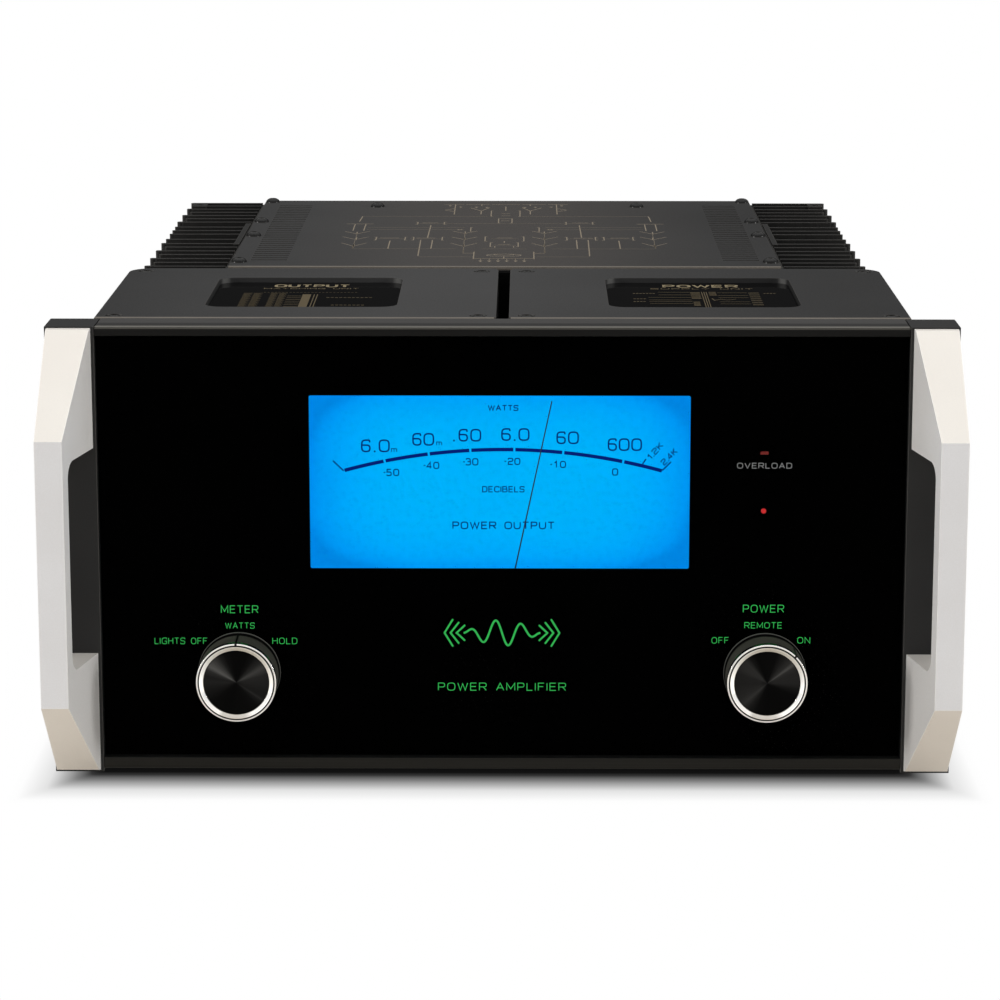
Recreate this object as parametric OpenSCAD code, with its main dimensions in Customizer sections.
// Monoblock power amplifier: glass front with a lit output meter, two knobs,
// carrying handles, two transformer covers and a rear deck between heat sinks.
// Units are millimetres. Z is up, the front faces -Y, left is -X,
// the feet rest on Z = 0 and the whole is centred in X and Y.

/* [Front panel] */
// Width across the two end plates
panel_w = 445; // [440:1:450]
// Height of the front panel without the feet
panel_h = 223; // [221:1:226]
// Depth of the front frame
frame_d = 27; // [26.5:0.5:28]
// Width of the glass
glass_w = 395; // [394:1:398]
// Thickness of the glass
glass_t = 5; // [4:0.5:5]
// Height of the top rail
top_rail_h = 4.6; // [4:0.2:5]
// Height of the bottom rail
bottom_rail_h = 5.9; // [5:0.1:7]

/* [Meter] */
// Width of the meter window
window_w = 187.2; // [180:0.1:188]
// Height of the meter window
window_h = 87.8; // [84:0.1:88.5]
// Sideways place of the window centre
window_x = -1.2; // [-2:0.1:2]
// Height of the window centre above the panel's bottom edge
window_z = 144.4; // [143.5:0.1:145.5]
// Height of the needle pivot above the panel's bottom edge
pivot_z = 69.5; // [68:0.5:71]
// Needle length from the pivot to the tip
needle_len = 117.4; // [108:0.2:118]
// Needle angle at rest, clockwise from straight up
needle_rest = 12; // [-40:0.1:40]

/* [Knobs] */
// Sideways distance of each knob from the centre
knob_x = 130; // [126:1:134]
// Height of the knob axes above the panel's bottom edge
knob_z = 50.2; // [46:0.1:54]
// Knob radius
knob_r = 19.8; // [18:0.2:20.4]
// How far a knob stands out of the glass
knob_out = 22.4; // [20:0.2:25]
// Knob shaft radius
shaft_r = 3; // [2.5:0.1:3.2]
// Running clearance on a radius
run_c = 0.05; // [0.03:0.01:0.08]

/* [Handles] */
// How far a handle stands out of the panel
handle_out = 46; // [40:1:50]
// Width of a handle where it meets the panel
handle_base = 22.9; // [20:0.1:23.5]
// Width of a handle's front facet
handle_front = 13.4; // [12:0.2:15]
// Drop from the panel's top to the front facet
handle_top_drop = 48; // [44:1:52]
// Rise from the panel's bottom to the front facet
handle_bottom_rise = 43.5; // [40:0.5:48]
// Lower edge of the hand hole
grip_z0 = 59.5; // [55:0.5:62]
// Upper edge of the hand hole
grip_z1 = 163; // [158:0.5:166]

/* [Transformer covers] */
// Half width across both covers
cover_x = 201.5; // [199:0.5:202]
// Rear face of the covers, behind the glass face
cover_back = 198; // [196:0.5:198]
// Half the gap between the covers
cover_gap = 3.2; // [2.5:0.1:4]
// Wall thickness of the covers
cover_t = 3; // [2.5:0.5:3]
// Radius of the outer rear corners
cover_r = 13; // [8:1:16]
// Width of a nameplate recess
recess_w = 97; // [90:1:100]
// Depth of a nameplate recess, front to back
recess_l = 100; // [90:1:104]
// Corner radius of a nameplate recess
recess_r = 9; // [4:0.5:12]

/* [Rear deck] */
// Half width of the deck plate
deck_x = 150; // [146:1:150]
// Front edge of the deck plate, behind the glass face
deck_y0 = 203.5; // [203:0.5:206]
// Rear edge of the deck plate, behind the glass face
deck_y1 = 490.5; // [490.5:0.5:494]
// Number of vent slots on each side
vent_n = 30; // [20:1:30]

/* [Heat sinks] */
// Outer tip of the fins, from the centre
fin_x = 196.5; // [190:0.5:198]
// Fin thickness
fin_t = 2.6; // [2:0.1:3]
// Top of the fins above the panel's bottom edge
fin_top = 222; // [216:0.5:222.5]

/* [Feet] */
// Height of the feet below the front panel
foot_h = 15; // [12:1:20]
// Radius of a foot
foot_r = 19; // [16:1:22]

/* [Hidden] */
// Y is counted from the glass face and Z from the panel's bottom edge.
$fn = 64;
overlap = 0.01;         // lets joined shapes run into each other
sides = [-1, 1];        // left, right

// Front frame
glass_top = panel_h - top_rail_h - 0.1;
rail_x = glass_w / 2 + 0.8;
sub_y0 = glass_t + 0.4; // subpanel behind the glass
sub_y1 = sub_y0 + 4;
bolt_x = 211;           // handle bolts
bolt_zs = [28, 195];
bolt_seat_y = 19;

// Meter and indicators
window_z0 = window_z - window_h / 2;
window_z1 = window_z + window_h / 2;
meter_back = 23.4;      // inner rear face of the meter housing
pivot_r = 0.75;
lamp_x = 128.7;
lamp_slot_z = 159.9;    // flat lens
lamp_hole_z = 130.8;    // round lens

// Knobs and switches
switch_y1 = 24;
knob_seat = knob_out - 3.6; // front face of the knob body
trim_back = knob_out - 3.55; // back of the ring and cap

// Chassis
base_z = 8;             // underside of the base plate
base_t = 3;
floor_z = base_z + base_t;
outlet_x = 100;         // cable holes between the compartments
outlet_z = 40;
outlet_r = 9;
cover_y0 = frame_d + 0.3;
cover_screws_x = [12, 192.5];
cover_screws_y = [36, 187.5];
recess_y = 113.5;

// Transformers: [width, depth, height], one centred under each nameplate
power_size = [168, 150, 160];
output_size = [156, 140, 150];
transformer_x = 102;
transformer_y = 112;
core_lift = 2.5;        // core above the base plate
core_bolt_in = 9;       // core bolts in from the edges

// Rear compartment
sink_x0 = 142;          // inner face of a heat-sink base
sink_x1 = 152;          // outer face of a heat-sink base
sink_y0 = 204;
sink_y1 = 486.8;
long_fins = [213, 242.5, 273, 303, 396.5, 427, 457, 485.5];
short_fins = [227.5, 258.5, 288.5, 412, 442, 472.5];
middle_fins = [321, 343, 358.5, 374];
deck_t = 2;
under_deck = panel_h - deck_t - 0.1;
deck_screw_x = 145.5;
deck_screws_y = [222, 328, 389, 483];
flange_screw_x = 79.5;
flange_screw_y = 461;
deck_hole_r = 2.2;
tapped_r = 2.02;        // holes that take the 2 mm radius screws
capacitor_spots = [[-42, 262], [42, 262], [-42, 350], [42, 350]];
trunk_end = [103, 440, 98]; // rear end of the right cable trunk

// Rear panel and connectors
rear_y0 = 487;          // inner face
rear_t = 3.2;
rear_y1 = rear_y0 + rear_t;
rear_screw_x = 146;
rear_screws_z = [20, 120, 205];
jack_x = -108;          // balanced and line jacks
balanced_z = 178;
balanced_screws = [[jack_x - 9.6, balanced_z - 12], [jack_x + 9.6, balanced_z + 12]];
line_z = 130;
control_xs = [jack_x - 12, jack_x + 12];
control_z = 92;
mains_x = 110;          // mains inlet and fuse
inlet_z = 52;
inlet_screws_x = [mains_x - 20, mains_x + 20];
fuse_z = 110;
fuse_r = 5;
post_x = [-28, 0, 28];  // common, 4 ohm and 8 ohm taps
post_z = 152;
post_out = 24.8;        // studs beyond the rear panel
stud_r = 4;

// The glass face lies here in Y, so that handles and posts end equally far out.
y_glass = -(rear_y1 + post_out + handle_out) / 2 + handle_out;

// Feet
rear_feet_from = 200;   // feet behind this Y have nuts on their screws
foot_spots = [[-165, 80], [165, 80], [-112, 452], [112, 452]];
foot_screw_r = 2.5;
foot_hole_r = 2.55;
foot_head_z = -foot_h + 11; // top of the screw-head recess

// ---------- helpers ----------
// Moves a shape from the glass face and the panel's bottom edge to its place.
module place() { translate([0, y_glass, foot_h]) children(); }
// A cylinder along +Y starting at y.
module rod(x, y, z, r, length, fn = 64) {
  translate([x, y, z]) rotate([-90, 0, 0]) cylinder(r = r, h = length, $fn = fn);
}
// A box from its low and high corners.
module box(low, high) {
  translate(low) cube([high[0] - low[0], high[1] - low[1], high[2] - low[2]]);
}
// A box centred on x, with its low and high limits in Y and Z.
module mid_box(x, half_w, ys, zs) {
  box([x - half_w, ys[0], zs[0]], [x + half_w, ys[1], zs[1]]);
}
// Low and high limits about a middle.
function about(middle, half) = [middle - half, middle + half];
// A rectangle centred on x, y with true round corners.
module round_rect(x, y, w, h, r) {
  translate([x - w / 2 + r, y - h / 2]) square([w - 2 * r, h]);
  translate([x - w / 2, y - h / 2 + r]) square([w, h - 2 * r]);
  for (cx = about(x, w / 2 - r), cy = about(y, h / 2 - r))
    translate([cx, cy]) circle(r = r, $fn = 48);
}
// A shape drawn in X and Z, given depth along +Y.
module extrude_y(y, length) {
  translate([0, y + length, 0]) rotate([90, 0, 0]) linear_extrude(length) children();
}
// A shape drawn in Y and Z, given depth along +X.
module extrude_x(x, length) {
  translate([x, 0, 0]) rotate([90, 0, 90]) linear_extrude(length) children();
}
// A dome-headed screw pointing down from z = 0, with a round recess in its head.
module dome_screw(head_r, head_h, shank_r, shank_l) {
  rotate_extrude($fn = 40) difference() {
    polygon(concat([[0, 0]],
                   [for (i = [0:8]) [head_r * cos(i * 11.25), head_h * sin(i * 11.25)]],
                   [[0, head_h]]));
    translate([-overlap, head_h * 0.45]) square([head_r * 0.42, head_h]);
  }
  translate([0, 0, -shank_l]) cylinder(r = shank_r, h = shank_l + overlap, $fn = 32);
}
// The same screw pointing forward from height z on the rear.
module rear_screw(x, y, z, head_r, head_h, shank_r, shank_l) {
  translate([x, y, z]) rotate([-90, 0, 0]) dome_screw(head_r, head_h, shank_r, shank_l);
}

// ---------- front frame ----------
module front_glass() {
  color([0.02, 0.02, 0.02]) place() difference() {
    mid_box(0, glass_w / 2, [0, glass_t], [bottom_rail_h + 0.2, glass_top]);
    for (side = sides) rod(side * knob_x, -1, knob_z, 6.5, glass_t + 2);
  }
}
module front_subpanel() {
  color([0.05, 0.05, 0.055]) place() difference() {
    mid_box(0, glass_w / 2 + 0.6, [sub_y0, sub_y1], [bottom_rail_h + 0.1, glass_top]);
    extrude_y(sub_y0 - 1, 6) round_rect(window_x, window_z, window_w, window_h, 1.2);
    for (side = sides) rod(side * knob_x, 4, knob_z, 5, 8);
    mid_box(lamp_x, 2, [sub_y0 - 1, sub_y1 + 1], about(lamp_slot_z, 0.8));
    rod(lamp_x, sub_y0 - 1, lamp_hole_z, 1.3, 6);
    // shallow slots in the rear face, just above the knob axes
    for (side = sides) mid_box(side * 128.8, 12, [sub_y1 - 1.6, sub_y1 + 1], [60, 62]);
  }
}
module top_rail() {
  z0 = panel_h - top_rail_h;
  color([0.10, 0.10, 0.105]) place() extrude_x(-rail_x, 2 * rail_x)
    polygon([[0, z0], [frame_d, z0], [frame_d, panel_h], [0.8, panel_h], [0, panel_h - 0.8]]);
}
module bottom_rail() {
  color([0.10, 0.10, 0.105]) place() extrude_x(-rail_x, 2 * rail_x)
    polygon([[0, 1], [1, 0], [frame_d, 0], [frame_d, bottom_rail_h], [0, bottom_rail_h]]);
}
module end_plate(side) {
  x0 = glass_w / 2 + 1;
  x1 = panel_w / 2;
  color([0.06, 0.06, 0.065]) place() difference() {
    translate([0, 0, -1.4]) linear_extrude(panel_h + 1.4)
      polygon([[side * x0, 0], [side * x1, 0], [side * x1, 25],
               [side * (x1 - 0.5), 25.5], [side * x0, 25.5]]);
    for (z = bolt_zs) {
      rod(side * bolt_x, -1, z, 3.2, 30);
      rod(side * bolt_x, bolt_seat_y, z, 5.6, 10);
    }
  }
}
module left_end_plate() { end_plate(-1); }
module right_end_plate() { end_plate(1); }

// A handle: a faceted bar with a hand hole, wide at the panel and narrow in front.
module handle(side) {
  outer_x = panel_w / 2 + 0.2;
  corner_r = 8;  // front corners of the hand hole
  hole_y = -30.5; // centres of those corners
  color([0.78, 0.77, 0.75]) place() difference() {
    intersection() {
      extrude_x(min(side * 195, side * 228), 33)
        polygon([[-0.05, -0.5], [-0.05, panel_h - 0.6], [-2.5, panel_h - 1.2],
                 [-handle_out, panel_h - handle_top_drop],
                 [-handle_out, handle_bottom_rise], [-2.5, 0.1]]);
      translate([0, 0, -2]) linear_extrude(panel_h + 2)
        polygon([[side * (outer_x - handle_base), 1], [side * (outer_x - 1.2), 1],
                 [side * (outer_x - 0.2), -handle_out - 1],
                 [side * (outer_x - handle_front), -handle_out - 1]]);
    }
    // hand hole
    extrude_x(min(side * 190, side * 230), 40) {
      translate([hole_y - corner_r, grip_z0 + corner_r])
        square([60, grip_z1 - grip_z0 - 2 * corner_r]);
      translate([hole_y, grip_z0]) square([60, grip_z1 - grip_z0]);
      for (z = [grip_z0 + corner_r, grip_z1 - corner_r])
        translate([hole_y, z]) circle(r = corner_r, $fn = 48);
    }
    for (z = bolt_zs) rod(side * bolt_x, -16, z, 3.02, 20);
  }
}
module left_handle() { handle(-1); }
module right_handle() { handle(1); }
module handle_bolts() {
  color([0.2, 0.2, 0.21]) place() for (side = sides, z = bolt_zs) {
    rod(side * bolt_x, -15, z, 3, bolt_seat_y + 15 + overlap);
    // head with a hexagon socket
    difference() {
      rod(side * bolt_x, bolt_seat_y, z, 5, 6);
      rod(side * bolt_x, bolt_seat_y + 3, z, 2.9, 5, 6);
    }
  }
}

// ---------- meter ----------
module meter_housing() {
  color([0.08, 0.08, 0.09]) place() difference() {
    union() {
      mid_box(window_x, window_w / 2 + 4, [sub_y1 + 0.1, 25], [window_z0 - 3, window_z1 + 3]);
      mid_box(0, 42, [sub_y1 + 0.1, 25], [pivot_z - 21, window_z0 - 3 + overlap]);
    }
    mid_box(window_x, window_w / 2 + 2, [sub_y1 - 1, meter_back],
            [window_z0 - 1, window_z1 + 1]);
    mid_box(0, 40, [sub_y1 - 1, meter_back], [pivot_z - 19, window_z0 - 5]);
    // slot that the needle swings through
    mid_box(0, 38, [sub_y1 - 1, 13.2], [window_z0 - 6, window_z0 + 1]);
  }
}
module meter_dial() {
  color([0.0, 0.6, 1.0]) place()
    mid_box(window_x, window_w / 2 + 1.9, [14.2, 15.4], [window_z0 - 0.9, window_z1 + 0.9]);
}
// Board behind the dial with a grid of lamps in front and four pegs behind.
module meter_light_board() {
  front = 19.6;
  back = 21.2;
  color([0.1, 0.35, 0.2]) place() translate([window_x, 0, 0]) {
    mid_box(0, window_w / 2, [front, back], about(window_z, 30));
    for (x = [-84:21:84], z = [-20, 0, 20])
      mid_box(x, 2.5, [17.8, front + overlap], about(window_z + z, 2.5));
    for (side = sides, z = [-25, 25])
      rod(side * 89, back - overlap, window_z + z, 2, 2.2 + overlap, 24);
  }
}
// Moving-coil movement: magnet ring, core, bearings and bridge.
module meter_movement() {
  bridge_y = 9.8;
  color([0.45, 0.45, 0.47]) place() {
    difference() {
      union() {
        rod(0, 15, pivot_z, 16, 7.4);
        mid_box(0, 24, [21, 23.3], about(pivot_z, 17));
      }
      rod(0, 14, pivot_z, 11, 7.6);
    }
    difference() {
      rod(0, 13.6, pivot_z, 8, 8.1);
      rod(0, 13, pivot_z, pivot_r + run_c, 5.5, 32);
    }
    difference() {
      union() {
        mid_box(0, 16.5, [bridge_y, 11], about(pivot_z, 3));
        for (side = sides)
          mid_box(side * 14.2, 1.6, [bridge_y, 15 + overlap], about(pivot_z, 3));
      }
      rod(0, 9, pivot_z, pivot_r + run_c, 3, 32);
    }
  }
}
// Needle with its axle, hub, coil cup and tail weight.
module meter_needle() {
  color([0.05, 0.05, 0.1]) place() translate([0, 0, pivot_z]) rotate([0, needle_rest, 0]) {
    rod(0, 10, 0, pivot_r, 8.2, 32);
    rod(0, 11.3, 0, 4, 1.9, 48);
    difference() {
      rod(0, 12.4, 0, 10.3, 8);
      rod(0, 13.2, 0, 8.7, 9);
    }
    extrude_y(11.5, 0.8) polygon([[-1.8, 0], [1.8, 0], [0.34, 24], [0.28, needle_len],
                                  [-0.28, needle_len], [-0.34, 24]]);
    extrude_y(11.5, 0.8) polygon([[-2.6, 0], [2.6, 0], [2.6, -12], [-2.6, -12]]);
  }
}
// Two lenses on a shared plate behind the subpanel.
module indicator_lenses() {
  plate_y = sub_y1 + 2;
  color([0.8, 0.05, 0.05]) place() {
    mid_box(lamp_x, 1.95, [sub_y0 + 0.1, plate_y], about(lamp_slot_z, 0.75));
    rod(lamp_x, sub_y0 + 0.1, lamp_hole_z, 1.25, 6, 32);
    box([121, plate_y - overlap, 125], [136, sub_y1 + 3.6, 167]);
  }
}

// ---------- knobs and switches ----------
// Switch body with a bushing in front, a rear plate and a ring of contacts.
module rotary_switch(side) {
  x = side * knob_x;
  color([0.25, 0.25, 0.27]) place() {
    difference() {
      union() {
        rod(x, 1, knob_z, 4.9, sub_y1);
        rod(x, sub_y1 + 0.05, knob_z, 13, switch_y1 - sub_y1 - 3);
        mid_box(x, 15, [switch_y1 - 5, switch_y1 - 2.4], about(knob_z, 10));
      }
      rod(x, 0, knob_z, shaft_r + run_c, 18);
    }
    for (angle = [0:30:330]) translate([x, 0, knob_z]) rotate([0, angle, 0])
      mid_box(0, 0.8, [switch_y1 - 3.5, switch_y1], [7.4, 8.4]);
  }
}
module meter_switch() { rotary_switch(-1); }
module power_switch() { rotary_switch(1); }

// Knob profiles list [radius, distance out of the glass].
// Knob body with its shaft; the ring and the cap sit on its front face.
module knob_body(side) {
  color([0.16, 0.16, 0.17]) place() translate([side * knob_x, 0, knob_z]) {
    rotate([90, 0, 0]) rotate_extrude($fn = 96) difference() {
      polygon([[0, 4.5], [15.5, 4.5], [15.5, 1], [knob_r + 0.6, 1], [knob_r + 0.6, 2.2],
               [knob_r - 0.5, 2.6], [knob_r - 0.5, 3.2], [knob_r - 0.1, 3.6],
               [knob_r - 0.1, knob_seat], [0, knob_seat]]);
      translate([10.5, 4]) square([2, 6]);
    }
    rod(0, -6, 0, shaft_r, 22.5);
  }
}
module knob_ring(side, angle) {
  color([0.85, 0.86, 0.87]) place() translate([side * knob_x, 0, knob_z])
    rotate([0, angle, 0]) difference() {
      rotate([90, 0, 0]) rotate_extrude($fn = 96)
        polygon([[16.2, trim_back], [knob_r, trim_back], [knob_r, knob_out - 1.0],
                 [knob_r - 0.15, knob_out - 0.55], [knob_r - 0.5, knob_out - 0.3],
                 [knob_r - 0.9, knob_out - 0.35], [18.75, knob_out - 0.75],
                 [18.7, knob_out - 1.7], [18.25, knob_out - 1.7], [18.2, knob_out - 0.15],
                 [18.0, knob_out], [17.8, knob_out], [16.2, knob_out - 1.0]]);
      // index notch
      mid_box(0, 0.55, [-knob_out - 1, -knob_out + 5], [18.45, 21]);
    }
}
module knob_cap(side) {
  color([0.06, 0.06, 0.06]) place() translate([side * knob_x, 0, knob_z])
    rotate([90, 0, 0]) rotate_extrude($fn = 96)
      polygon([[0, trim_back], [16.1, trim_back], [16.1, knob_out - 1.6],
               [15.8, knob_out - 1.3], [0, knob_out - 1.3]]);
}
module meter_knob() { knob_body(-1); }
module meter_knob_ring() { knob_ring(-1, 0); }
module meter_knob_cap() { knob_cap(-1); }
module power_knob() { knob_body(1); }
module power_knob_ring() { knob_ring(1, 45); }
module power_knob_cap() { knob_cap(1); }

// ---------- chassis ----------
// Plan of the right cover: the outer rear corner is round, the others are square.
module cover_outline(y0, y1, inner_x, outer_x, r) {
  translate([inner_x, y0]) square([outer_x - inner_x - r, y1 - y0]);
  translate([inner_x, y0]) square([outer_x - inner_x, y1 - y0 - r]);
  translate([outer_x - r, y1 - r]) circle(r = r, $fn = 64);
}
module base_plate() {
  color([0.12, 0.12, 0.125]) place() difference() {
    union() {
      translate([0, 0, base_z]) linear_extrude(base_t) {
        for (m = [0, 1]) mirror([m, 0, 0])
          cover_outline(cover_y0, cover_back, -1, cover_x, cover_r);
        translate([-sink_x0 + 0.2, 150]) square([2 * sink_x0 - 0.4, rear_y0 - 150.1]);
      }
      // rails beside the heat sinks
      for (side = sides) mid_box(side * 140.3, 1.5, [206, 484], [base_z + 1, base_z + 22]);
    }
    for (spot = foot_spots)
      translate([spot[0], spot[1], 0]) cylinder(r = foot_hole_r, h = 30, $fn = 32);
    for (y = [225:14:418], side = sides)
      mid_box(side * 90, 25, [y, y + 4], [base_z - 1, base_z + 5]);
  }
}
module bulkhead() {
  color([0.14, 0.14, 0.145]) place() difference() {
    mid_box(0, 141.7, [199, 201.5], [floor_z, 220.8]);
    for (side = sides) rod(side * outlet_x, 198, outlet_z, outlet_r, 5, 48);
    extrude_y(198, 5) round_rect(0, 140, 60, 40, 5);
  }
}
module transformer_cover(side) {
  color([0.22, 0.22, 0.225]) place() mirror([side < 0 ? 1 : 0, 0, 0]) difference() {
    translate([0, 0, floor_z]) linear_extrude(panel_h - floor_z)
      difference() {
        cover_outline(cover_y0, cover_back, cover_gap, cover_x, cover_r);
        // the centre gap widens at its front and rear ends
        translate([cover_gap - 1, cover_back - 4]) square([1.9, 5]);
        translate([cover_gap - 1, frame_d]) square([1.9, 4]);
      }
    translate([0, 0, floor_z - 1]) linear_extrude(panel_h - floor_z - 6)
      cover_outline(cover_y0 + cover_t, cover_back - cover_t,
                    cover_gap + cover_t, cover_x - cover_t, cover_r - cover_t);
    translate([0, 0, panel_h - 4.2]) linear_extrude(6)
      round_rect(transformer_x, recess_y, recess_w, recess_l, recess_r);
    // cable outlet to the rear compartment
    rod(outlet_x, 190, outlet_z, outlet_r, 12, 48);
    // screw holes and their dimples
    for (x = cover_screws_x, y = cover_screws_y) translate([x, y, 0]) {
      cylinder(r = 2.1, h = 300, $fn = 32);
      translate([0, 0, panel_h - 2.2]) cylinder(r = 4.4, h = 5, $fn = 40);
    }
  }
}
module left_transformer_cover() { transformer_cover(-1); }
module right_transformer_cover() { transformer_cover(1); }
module nameplate(side) {
  gap = 0.4; // to the recess all round
  color([0.02, 0.02, 0.02]) place() translate([side * transformer_x, 0, panel_h - 4.15])
    linear_extrude(1.6)
      round_rect(0, recess_y, recess_w - 2 * gap, recess_l - 2 * gap, recess_r - gap);
}
module left_nameplate() { nameplate(-1); }
module right_nameplate() { nameplate(1); }
// Every dome screw: transformer covers, deck, rear panel and connectors.
module dome_screws() {
  color([0.08, 0.08, 0.08]) place() {
    for (side = sides, x = cover_screws_x, y = cover_screws_y)
      translate([side * x, y, panel_h - 2.15]) dome_screw(4, 2.6, 2, 9);
    for (side = sides, y = deck_screws_y)
      translate([side * deck_screw_x, y, panel_h]) dome_screw(4.3, 2.7, 2, 9);
    for (side = sides)
      translate([side * flange_screw_x, flange_screw_y, panel_h]) dome_screw(4.3, 2.7, 2, 6);
    for (side = sides, z = rear_screws_z)
      rear_screw(side * rear_screw_x, rear_y1, z, 4, 2.4, 2, 9);
    for (x = inlet_screws_x) rear_screw(x, rear_y1 + 2.5, inlet_z, 2.8, 1.8, 1.45, 8);
    for (spot = balanced_screws)
      rear_screw(spot[0], rear_y1 + 2.7, spot[1], 2.4, 1.6, 1.2, 8);
  }
}

// ---------- transformers ----------
// Core with two windows, a winding round its middle limb and bobbin flanges.
module transformer(side, size) {
  w = size[0];
  d = size[1];
  h = size[2];
  winding_z = h * 0.2;
  winding_h = h * 0.6;
  flange_t = 1.5;
  place() translate([side * transformer_x, transformer_y, floor_z + core_lift]) {
    color([0.3, 0.3, 0.32]) difference() {
      translate([-w / 2, -d / 4, 0]) cube([w, d / 2, h]);
      for (m = sides)
        translate([m * w * 0.27 - w * 0.09, -d, winding_z]) cube([w * 0.18, 2 * d, winding_h]);
      for (i = sides, k = [0, 1])
        translate([i * (w / 2 - core_bolt_in), 0, k * (h - 2 * core_bolt_in) + core_bolt_in])
          rotate([90, 0, 0]) cylinder(r = 3.3, h = 2 * d, center = true, $fn = 32);
    }
    color([0.65, 0.42, 0.2]) translate([0, 0, winding_z + flange_t])
      linear_extrude(winding_h - 2 * flange_t) difference() {
        round_rect(0, 0, w * 0.7, d * 0.84, 10);
        square([w * 0.37, d / 2 + 0.1], center = true);
      }
    color([0.9, 0.88, 0.8]) for (k = [0, 1])
      translate([0, 0, winding_z + k * (winding_h - flange_t)])
        linear_extrude(flange_t) difference() {
          round_rect(0, 0, w * 0.71, d * 0.9, 4);
          square([w * 0.37, d / 2 + 0.1], center = true);
        }
  }
}
module power_transformer() { transformer(-1, power_size); }
module output_autoformer() { transformer(1, output_size); }
// Angle feet, through bolts and hexagon nuts of one transformer.
module clamp_set(side, size) {
  x = side * transformer_x;
  w = size[0];
  d = size[1];
  bolt_dx = w / 2 - core_bolt_in;
  bolt_z = floor_z + core_lift + core_bolt_in;
  for (m = sides) difference() {
    union() {
      mid_box(x, w / 2, about(transformer_y + m * (d / 4 + 1.3), 1.2),
              [floor_z, floor_z + core_lift + 20]);
      mid_box(x, w / 2, about(transformer_y + m * (d / 4 + 8.05), 7.95),
              [floor_z, floor_z + 2.3]);
    }
    for (i = sides) rod(x + i * bolt_dx, transformer_y - 100, bolt_z, 3.3, 200, 32);
  }
  for (i = sides) {
    rod(x + i * bolt_dx, transformer_y - d / 4 - 10, bolt_z, 3, d / 2 + 20, 32);
    for (m = sides)
      translate([x + i * bolt_dx, transformer_y + m * (d / 4 + 5.1), bolt_z])
        rotate([90, 0, 0]) cylinder(r = 5.6, h = 5, center = true, $fn = 6);
  }
}
module transformer_clamps() {
  color([0.4, 0.4, 0.42]) place() {
    clamp_set(-1, power_size);
    clamp_set(1, output_size);
  }
}

// ---------- rear deck ----------
module rear_top_cover() {
  color([0.2, 0.2, 0.205]) place() difference() {
    mid_box(0, deck_x, [deck_y0, deck_y1], [panel_h - deck_t, panel_h]);
    for (side = sides, i = [0:vent_n - 1])
      mid_box(side * 129.8, 10, [229 + i * 8.1, 231.6 + i * 8.1], [panel_h - 3, panel_h + 1]);
    for (side = sides, y = deck_screws_y)
      translate([side * deck_screw_x, y, 0]) cylinder(r = deck_hole_r, h = 300, $fn = 32);
    for (side = sides) translate([side * flange_screw_x, flange_screw_y, 0])
      cylinder(r = deck_hole_r, h = 300, $fn = 32);
  }
}
// A straight run of cable between two points, with a ball at its far end.
module cable_run(from, to, r) {
  delta = to - from;
  length = norm(delta);
  translate(from) rotate([0, acos(delta[2] / length), atan2(delta[1], delta[0])])
    cylinder(r = r, h = length, $fn = 24);
  translate(to) sphere(r = r, $fn = 24);
}
module bundle(points, r) {
  for (i = [0:len(points) - 2]) cable_run(points[i], points[i + 1], r);
}
// Cable bundles from the transformers to the boards and the connectors.
module wiring_harness() {
  color([0.5, 0.1, 0.1]) place() {
    for (side = sides)
      bundle([[side * outlet_x, 184, outlet_z], [side * outlet_x, 209, outlet_z],
              [side * 103, 214, 60], [side * 103, 214, 98], [side * 103, 440, 98]], 4);
    // to the fuse holder
    bundle([trunk_end, [103, 448, 98], [110, 454, 110], [110, 457.5, 110]], 2.5);
    // to the line jack
    bundle([[-103, 440, 98], [-105, 450, 110], [-108, 458, 126], [-108, 476.5, 130]], 1.5);
    // to the output posts
    for (x = post_x) bundle([[x, 466, post_z], [x, 473.5, post_z]], 2.5);
    bundle([[-30.4, 466, post_z], [103, 466, post_z], trunk_end], 2.5);
  }
}
// Plan of one plain fin with its rounded tip at tip_x.
module fin_blade(tip_x, y) {
  translate([sink_x1 - overlap, y - fin_t / 2]) square([tip_x - fin_t / 2 - sink_x1, fin_t]);
  translate([tip_x - fin_t / 2, y]) circle(r = fin_t / 2, $fn = 24);
}
// Extruded heat sink: fins run outward from a thick base plate.
module heatsink(side) {
  bead_r = 2;
  boss_y = 470;
  color([0.05, 0.05, 0.052]) place() mirror([side < 0 ? 1 : 0, 0, 0]) difference() {
    union() {
      translate([0, 0, base_z]) linear_extrude(under_deck - base_z)
        translate([sink_x0, sink_y0]) square([sink_x1 - sink_x0, sink_y1 - sink_y0]);
      translate([0, 0, base_z]) linear_extrude(fin_top - base_z) {
        translate([sink_x1 - overlap, 300]) square([3, 90]);
        // long fins end in a rounded bead
        for (y = long_fins) {
          translate([sink_x1 - overlap, y - fin_t / 2])
            square([fin_x - bead_r - sink_x1, fin_t]);
          translate([fin_x - bead_r, min(y, sink_y1 - bead_r)]) circle(r = bead_r, $fn = 32);
        }
        for (y = short_fins) fin_blade(fin_x - 3.5, y);
        for (y = middle_fins) fin_blade(fin_x - 0.8, y);
        // screw boss at the rear corner
        translate([186, boss_y]) square([8.5, sink_y1 - boss_y]);
      }
    }
    translate([190.2, 478, 0]) cylinder(r = 2.3, h = 300, $fn = 32);
    for (y = deck_screws_y)
      translate([deck_screw_x, y, panel_h - 14]) cylinder(r = tapped_r, h = 30, $fn = 32);
    for (z = rear_screws_z) rod(rear_screw_x, sink_y1 - 12, z, tapped_r, 20, 32);
  }
}
module left_heatsink() { heatsink(-1); }
module right_heatsink() { heatsink(1); }

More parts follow.
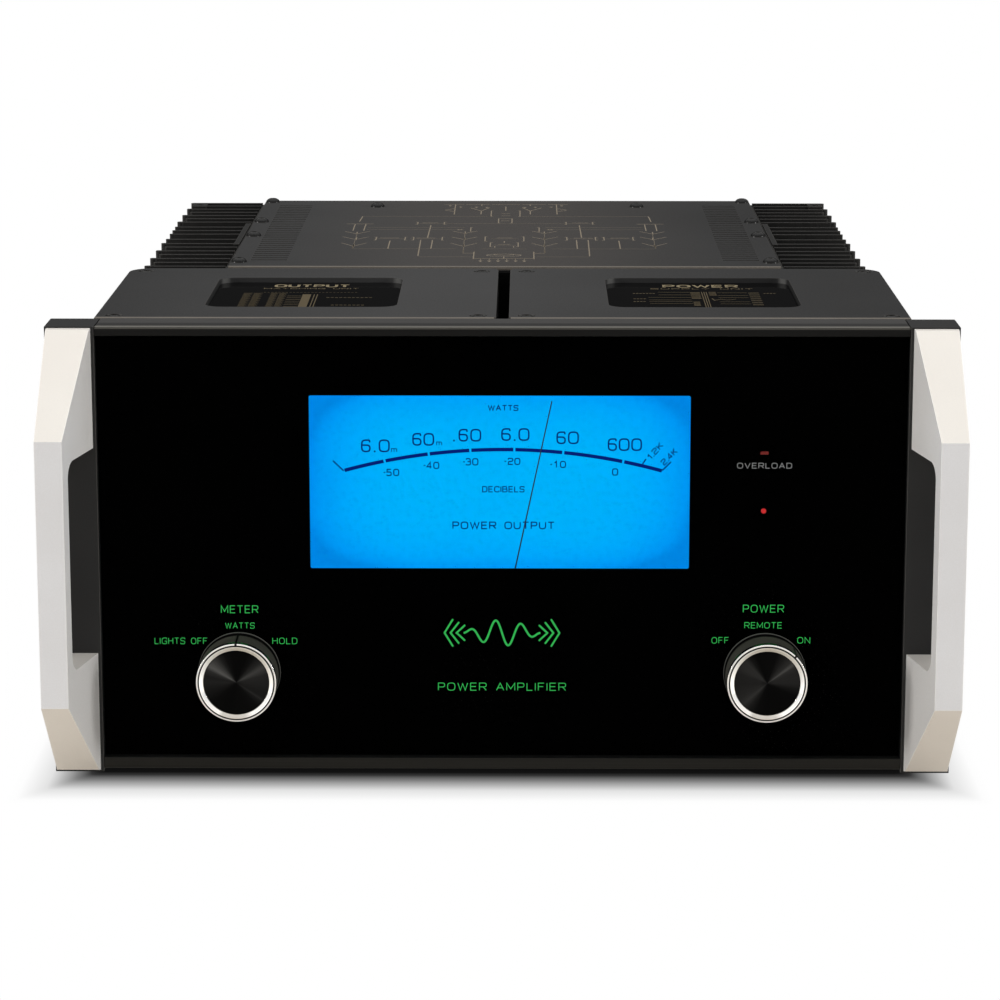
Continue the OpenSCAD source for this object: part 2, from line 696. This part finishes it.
// ---------- electronics ----------
module output_boards() {
  board_x = 130;
  spacer_zs = [48, 142];
  color([0.08, 0.3, 0.14]) place() for (side = sides) {
    difference() {
      mid_box(side * board_x, 0.8, [222, 470], [40, 150]);
      for (y = [232, 460], z = spacer_zs) translate([side * board_x, y, z])
        rotate([0, 90, 0]) cylinder(r = 1.9, h = 10, center = true, $fn = 24);
    }
    // two rows of small blocks and a row of round parts on the inner face
    for (y = [240:27:440]) {
      for (z = [60, 130]) mid_box(side * 127, 2.21, [y, y + 12], [z, z + 6]);
      translate([side * 129.3, y + 6, 114]) rotate([0, -side * 90, 0])
        cylinder(r = 5, h = 12, $fn = 32);
    }
    // hexagon spacers to the heat sink
    for (y = [227, 465], z = spacer_zs) translate([side * 130.7, y, z])
      rotate([0, side * 90, 0]) cylinder(r = 3.4, h = 11.25, $fn = 6);
  }
}
// Seven flat packages on each heat sink, each with three bent leads.
module output_transistors() {
  body_z = 88;
  lead_z = 74;
  color([0.07, 0.07, 0.075]) place() for (side = sides, i = [0:6]) {
    y = 236 + i * 33;
    mid_box(side * 139.4, 2.4, [y, y + 20], [body_z, 114]);
    for (k = [-5.5, 0, 5.5]) {
      lead_ys = about(y + 10 + k, 0.6);
      mid_box(side * 138, 0.3, lead_ys, [lead_z, body_z + overlap]);
      mid_box(side * 134.5, 3.65, lead_ys, [lead_z, lead_z + 0.6]);
    }
  }
}
module filter_capacitors() {
  color([0.07, 0.1, 0.3]) place() for (spot = capacitor_spots)
    translate([spot[0], spot[1], floor_z + 0.2]) {
      rotate_extrude($fn = 64)
        polygon([[0, 0], [36, 0], [37.5, 1.5], [37.5, 108], [36, 110], [33, 110],
                 [32, 108.5], [0, 108.5]]);
      // terminals
      for (k = sides) translate([k * 14, 0, 108.4]) cylinder(r = 6, h = 6, $fn = 32);
    }
}
module capacitor_bracket() {
  plate_z = 60;
  color([0.55, 0.56, 0.58]) place() {
    difference() {
      mid_box(0, 88, [218, 394], [plate_z, plate_z + 2]);
      for (spot = capacitor_spots)
        translate([spot[0], spot[1], 0]) cylinder(r = 37.55, h = 200, $fn = 64);
    }
    for (side = sides, y = [222, 390]) translate([side * 84, y, floor_z])
      cylinder(r = 3, h = plate_z - floor_z + overlap, $fn = 6);
  }
}
module driver_board() {
  board_z = 160;
  top_z = board_z + 1.6;
  part_z = top_z - overlap;
  color([0.08, 0.32, 0.15]) place() {
    difference() {
      mid_box(0, 105, [210, 420], [board_z, top_z]);
      translate([0, 315, 0]) cylinder(r = 18, h = 300, $fn = 64);
    }
    // bars under the corners, out to the heat sinks
    for (side = sides, y = [216, 414])
      mid_box(side * 120.8, 20.8, about(y, 4), [board_z - 3, board_z + overlap]);
    for (x = [-84:24:84], y = [236, 396])
      translate([x, y, part_z]) cylinder(r = 6, h = 16, $fn = 32);
    for (x = [-80, -40, 40, 80], y = [270, 300, 330, 360])
      mid_box(x, 9, about(y, 4), [part_z, board_z + 5]);
    for (side = sides) mid_box(side * 60, 12, [258, 262], [part_z, board_z + 24]);
  }
}
module bridge_rectifiers() {
  color([0.1, 0.1, 0.1]) place() for (side = sides)
    translate([side * 26, 430, floor_z]) difference() {
      union() {
        translate([-14.5, -14.5, 0]) cube([29, 29, 11]);
        for (i = sides, j = sides)
          translate([i * 8 - 0.4, j * 8 - 3.2, 11 - overlap]) cube([0.8, 6.4, 10]);
      }
      translate([0, 0, -1]) cylinder(r = 2.6, h = 20, $fn = 32);
    }
}

// ---------- rear panel ----------
// A round hole through the rear panel.
module rear_hole(x, z, r, fn = 64) { rod(x, rear_y0 - 1, z, r, 6, fn); }
module rear_panel() {
  color([0.1, 0.1, 0.105]) place() difference() {
    union() {
      mid_box(0, deck_x, [rear_y0, rear_y1], [base_z, under_deck]);
      // top flange for the deck screws
      mid_box(0, 141, [453, rear_y0 + overlap], [under_deck - 2.5, under_deck]);
    }
    for (x = post_x) rear_hole(x, post_z, 6.1);
    rear_hole(jack_x, balanced_z, 11.6);
    rear_hole(jack_x, line_z, 6.1);
    for (x = control_xs) rear_hole(x, control_z, 4.1);
    extrude_y(rear_y0 - 1, 6) round_rect(mains_x, inlet_z, 32, 24, 3);
    rear_hole(mains_x, fuse_z, 7.6);
    // vents low on the panel
    for (i = [-9:9]) extrude_y(rear_y0 - 1, 6) round_rect(i * 7, 55, 3, 50, 1.4);
    for (side = sides, z = rear_screws_z) rear_hole(side * rear_screw_x, z, 2.1, 32);
    for (x = inlet_screws_x) rear_hole(x, inlet_z, 1.5, 24);
    for (spot = balanced_screws) rear_hole(spot[0], spot[1], 1.25, 24);
    for (side = sides) translate([side * flange_screw_x, flange_screw_y, 200])
      cylinder(r = tapped_r, h = 40, $fn = 32);
  }
}
module balanced_jack() {
  color([0.13, 0.13, 0.14]) place() difference() {
    union() {
      extrude_y(rear_y1 + 0.05, 2.6) round_rect(jack_x, balanced_z, 26, 31, 2);
      rod(jack_x, rear_y0 - 20, balanced_z, 11.5, 20 + rear_t + 1);
    }
    // ring groove round the core
    difference() {
      rod(jack_x, rear_y1 - 13, balanced_z, 9.6, 30);
      rod(jack_x, rear_y1 - 14, balanced_z, 7.6, 14.5);
    }
    // three contact holes
    for (angle = [90, 210, 330])
      rod(jack_x + 4.6 * cos(angle), rear_y1 - 12, balanced_z + 4.6 * sin(angle), 1.3, 30, 32);
    // keyway and the slot of the latch tab
    mid_box(jack_x, 1.5, [rear_y1 - 10, rear_y1 + 5], [184, 186.5]);
    mid_box(jack_x, 2.6, [rear_y1 - 9, rear_y1 + 5], [186, 189]);
    for (spot = balanced_screws) rod(spot[0], rear_y1 - 3, spot[1], 1.25, 10, 24);
  }
}
module balanced_latch() {
  color([0.75, 0.76, 0.78]) place()
    mid_box(jack_x, 2.3, [rear_y1 - 2, rear_y1 + 4.8], [186.3, 188.7]);
}
module line_jack() {
  color([0.83, 0.68, 0.3]) place() difference() {
    union() {
      rod(jack_x, rear_y1 + 0.05, line_z, 7.5, 2);
      rod(jack_x, rear_y1 - 12, line_z, 6, 13);
      rod(jack_x, rear_y1 + 2, line_z, 4.15, 9);
    }
    rod(jack_x, rear_y1 + 3, line_z, 3.2, 9);
    rod(jack_x, rear_y1 - 8, line_z, 1.6, 20, 32);
  }
}
module control_jacks() {
  color([0.15, 0.15, 0.16]) place() for (x = control_xs) difference() {
    union() {
      rod(x, rear_y1 - 16, control_z, 4, 18);
      rod(x, rear_y1 + 0.05, control_z, 6, 2.2);
    }
    rod(x, rear_y1 - 12, control_z, 1.75, 15, 32);
  }
}
module mains_inlet() {
  color([0.05, 0.05, 0.055]) place() difference() {
    union() {
      extrude_y(rear_y1 + 0.05, 2.4) round_rect(mains_x, inlet_z, 50, 32, 3);
      extrude_y(rear_y1 - 28, 28.2) round_rect(mains_x, inlet_z, 31.4, 23.4, 2.8);
    }
    // socket with three blades left standing
    difference() {
      extrude_y(rear_y1 - 22, 30) round_rect(mains_x, inlet_z, 27, 19, 2);
      for (i = [-1:1])
        mid_box(mains_x + i * 7, 0.8, [rear_y1 - 23, rear_y1 - 4], about(inlet_z, 3));
    }
    for (x = inlet_screws_x) rod(x, rear_y1 - 1, inlet_z, 1.5, 6, 24);
  }
}
module fuse_holder() {
  color([0.06, 0.06, 0.065]) place() difference() {
    union() {
      rod(mains_x, rear_y1 + 0.05, fuse_z, 9.5, 2.4);
      rod(mains_x, rear_y1 - 30, fuse_z, 7.5, 31);
    }
    rod(mains_x, rear_y1 - 26, fuse_z, fuse_r + run_c, 32);
  }
}
module fuse_cap() {
  color([0.05, 0.05, 0.055]) place() difference() {
    union() {
      rod(mains_x, rear_y1 - 24, fuse_z, fuse_r, 27);
      rod(mains_x, rear_y1 + 2.6, fuse_z, 8.2, 9);
    }
    // screwdriver slot
    mid_box(mains_x, 1.1, [rear_y1 + 10, rear_y1 + 13], about(fuse_z, 7));
  }
}
module output_posts() {
  color([0.8, 0.65, 0.28]) place() for (x = post_x) difference() {
    union() {
      rod(x, rear_y1 - 14, post_z, stud_r, 14 + post_out);
      rod(x, rear_y1 - 6, post_z, 6, 7);
      rod(x, rear_y1 + 0.05, post_z, 9.5, 3.4);
      rod(x, rear_y1 + 3.4, post_z, 7, 2.6);
    }
    // socket for a 4 mm plug
    rod(x, rear_y1 + 6, post_z, 2, 30, 32);
  }
}
module post_washer(i) {
  color([0.85, 0.7, 0.3]) place() difference() {
    rod(post_x[i], rear_y1 + 6.1, post_z, 7.8, 1.8);
    rod(post_x[i], rear_y1 + 5, post_z, stud_r + run_c, 5);
  }
}
// Ribbed nut; the middle one is red.
module post_nut(i) {
  color(i % 2 == 0 ? [0.05, 0.05, 0.05] : [0.6, 0.05, 0.05]) place() difference() {
    union() {
      rod(post_x[i], rear_y1 + 8, post_z, 9, 14.6);
      for (angle = [0:45:315]) translate([post_x[i], 0, post_z]) rotate([0, angle, 0])
        mid_box(0, 1.4, [rear_y1 + 9.5, rear_y1 + 21], [8, 10]);
    }
    rod(post_x[i], rear_y1 + 7, post_z, stud_r + run_c, 20);
  }
}
module post_washer_1() { post_washer(0); }
module post_nut_1() { post_nut(0); }
module post_washer_2() { post_washer(1); }
module post_nut_2() { post_nut(1); }
module post_washer_3() { post_washer(2); }
module post_nut_3() { post_nut(2); }

// ---------- feet ----------
module feet() {
  top_z = base_z - 0.02;
  color([0.05, 0.05, 0.05]) place() for (spot = foot_spots)
    translate([spot[0], spot[1], 0]) difference() {
      rotate_extrude($fn = 64)
        polygon([[0, -foot_h], [foot_r - 3, -foot_h], [foot_r - 1.5, -foot_h + 2],
                 [foot_r, base_z - 3], [foot_r, top_z], [0, top_z]]);
      translate([0, 0, -foot_h - 1]) cylinder(r = 6, h = 12, $fn = 48);
      translate([0, 0, -foot_h]) cylinder(r = foot_hole_r, h = 50, $fn = 32);
    }
}
module foot_screws() {
  color([0.6, 0.6, 0.62]) place() for (spot = foot_spots) translate([spot[0], spot[1], 0]) {
    rear = spot[1] > rear_feet_from;
    // head with a hexagon socket
    translate([0, 0, foot_head_z - 3.5]) difference() {
      cylinder(r = 4.6, h = 3.48, $fn = 40);
      translate([0, 0, -1]) cylinder(r = 1.8, h = 3, $fn = 6);
    }
    // the front screws end inside the base plate, under the transformers
    translate([0, 0, foot_head_z - 0.05])
      cylinder(r = foot_screw_r, h = floor_z + (rear ? 2 : -0.1) - foot_head_z, $fn = 32);
    if (rear) translate([0, 0, floor_z + 0.02]) difference() {
      cylinder(r = 4.5, h = 3.6, $fn = 6);
      translate([0, 0, -1]) cylinder(r = foot_screw_r, h = 6, $fn = 32);
    }
  }
}

front_glass();
front_subpanel();
top_rail();
bottom_rail();
left_end_plate();
right_end_plate();
left_handle();
right_handle();
handle_bolts();
meter_housing();
meter_dial();
meter_movement();
meter_light_board();
meter_needle();
indicator_lenses();
meter_switch();
power_switch();
meter_knob();
meter_knob_ring();
meter_knob_cap();
power_knob();
power_knob_ring();
power_knob_cap();
base_plate();
bulkhead();
left_transformer_cover();
right_transformer_cover();
left_nameplate();
right_nameplate();
dome_screws();
power_transformer();
output_autoformer();
transformer_clamps();
rear_top_cover();
wiring_harness();
left_heatsink();
right_heatsink();
output_boards();
output_transistors();
filter_capacitors();
capacitor_bracket();
driver_board();
bridge_rectifiers();
rear_panel();
balanced_jack();
balanced_latch();
line_jack();
control_jacks();
mains_inlet();
fuse_holder();
fuse_cap();
output_posts();
post_washer_1();
post_nut_1();
post_washer_2();
post_nut_2();
post_washer_3();
post_nut_3();
feet();
foot_screws();
